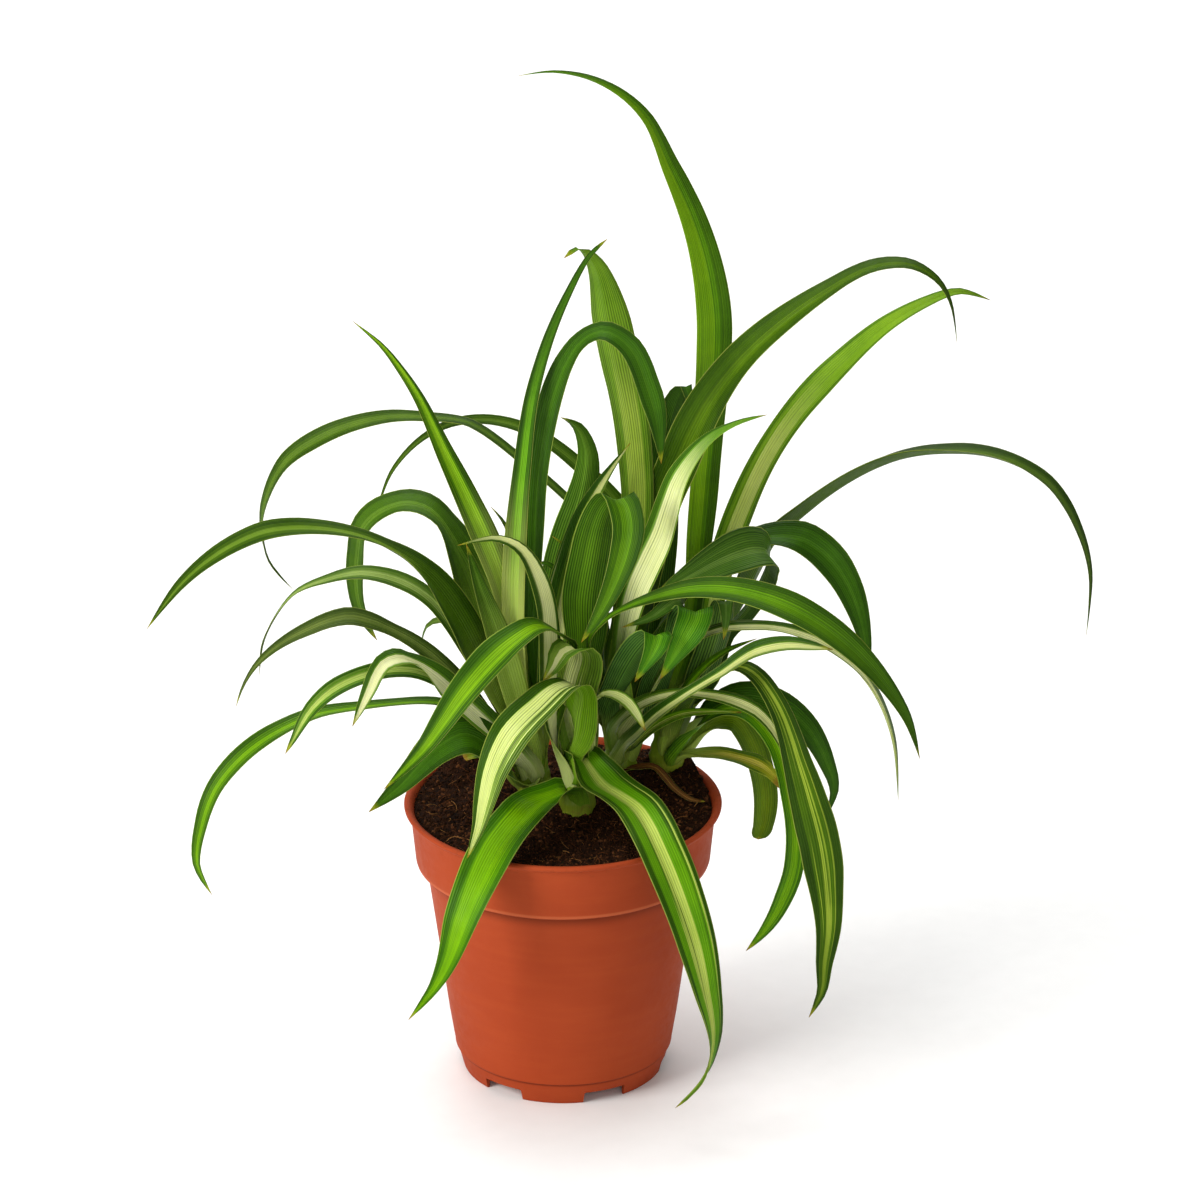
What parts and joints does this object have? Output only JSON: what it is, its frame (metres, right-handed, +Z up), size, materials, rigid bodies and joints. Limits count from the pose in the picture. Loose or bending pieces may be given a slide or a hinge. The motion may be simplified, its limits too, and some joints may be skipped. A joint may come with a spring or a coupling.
{
  "type": "potted spider plant",
  "caption": "Spider plant with long arching striped leaves rising from crowns in soil, in a round tapered plastic nursery pot with a deep rim band.",
  "frame": {"origin": "centre of the flat pad under the pot's base, on the surface the pot stands on", "axes": "+Z up along the axis of the pot, +X to the right and -Y towards a person in front"},
  "size_m": [0.4481, 0.2091, 0.4915],
  "materials": {
    "pot_plastic": "terracotta-coloured moulded plastic, matt",
    "potting_soil": "dark brown peat with fibres, dull and crumbly",
    "crown_tissue": "pale green and cream leaf bases, satin",
    "leaf_green": "green blade with a lighter middle, satin",
    "leaf_dark": "dark green blade, satin",
    "leaf_light": "yellow-green blade with green margins, satin",
    "leaf_cream": "blade striped in cream and green, satin",
    "leaf_dry": "withered brown blade, dull"
  },
  "bodies": {
    "root": {"pot": "pot_plastic", "soil": "potting_soil", "crown_front": "crown_tissue", "crown_left": "crown_tissue", "crown_right": "crown_tissue", "crown_right_rear": "crown_tissue", "leaf_front_right_drop": "leaf_light", "leaf_front_left_drop": "leaf_green", "leaf_front_cream": "leaf_cream", "leaf_long_front_left": "leaf_green", "leaf_short_folded": "leaf_cream", "leaf_centre_folded": "leaf_green", "leaf_right_twisted": "leaf_green", "leaf_small_cream_hook": "leaf_cream", "leaf_cream_edge_upright": "leaf_cream", "leaf_cream_tip_left": "leaf_cream", "leaf_dark_arch": "leaf_dark", "leaf_thin_upright": "leaf_green", "leaf_left_diagonal": "leaf_green", "leaf_left_hook": "leaf_dark", "leaf_long_left": "leaf_green", "leaf_left_high_arc": "leaf_green", "leaf_left_mid_arc": "leaf_green", "leaf_left_small_hook": "leaf_dark", "leaf_low_long_left": "leaf_green", "leaf_left_light_stripe": "leaf_light", "leaf_left_cream_twist": "leaf_cream", "leaf_left_low_front": "leaf_dark", "leaf_short_pointed": "leaf_green", "leaf_dark_striped_tip": "leaf_dark", "leaf_small_soil_left": "leaf_green", "leaf_broad_behind": "leaf_green", "leaf_right_dark_arch": "leaf_dark", "leaf_tall_broad": "leaf_light", "leaf_far_left_arch": "leaf_green", "leaf_cream_upright": "leaf_cream", "leaf_ribbed_hanging_tip": "leaf_green", "leaf_broad_hanging_tip": "leaf_green", "leaf_cream_under_arc": "leaf_cream", "leaf_cream_striped_right": "leaf_cream", "leaf_grey_arc_right": "leaf_cream", "leaf_light_edge_right": "leaf_light", "leaf_dark_left_behind": "leaf_dark", "leaf_small_green_tip": "leaf_green", "leaf_dry_fallen": "leaf_dry", "leaf_left_point_tip": "leaf_dark", "leaf_tallest": "leaf_green", "leaf_right_light_arch": "leaf_light", "leaf_far_right_arch": "leaf_dark", "leaf_back_thin_arch": "leaf_dark", "leaf_right_dark_drop": "leaf_dark", "leaf_right_folded_back": "leaf_dark", "leaf_down_tip": "leaf_green", "leaf_dark_behind_drop": "leaf_dark", "leaf_olive_drop": "leaf_dark", "leaf_yellowing_low": "leaf_cream", "leaf_back_folded_tip": "leaf_dark", "leaf_thin_point_right": "leaf_green", "leaf_big_right_drop": "leaf_light", "leaf_curl_right": "leaf_green"}
  },
  "joints": []
}
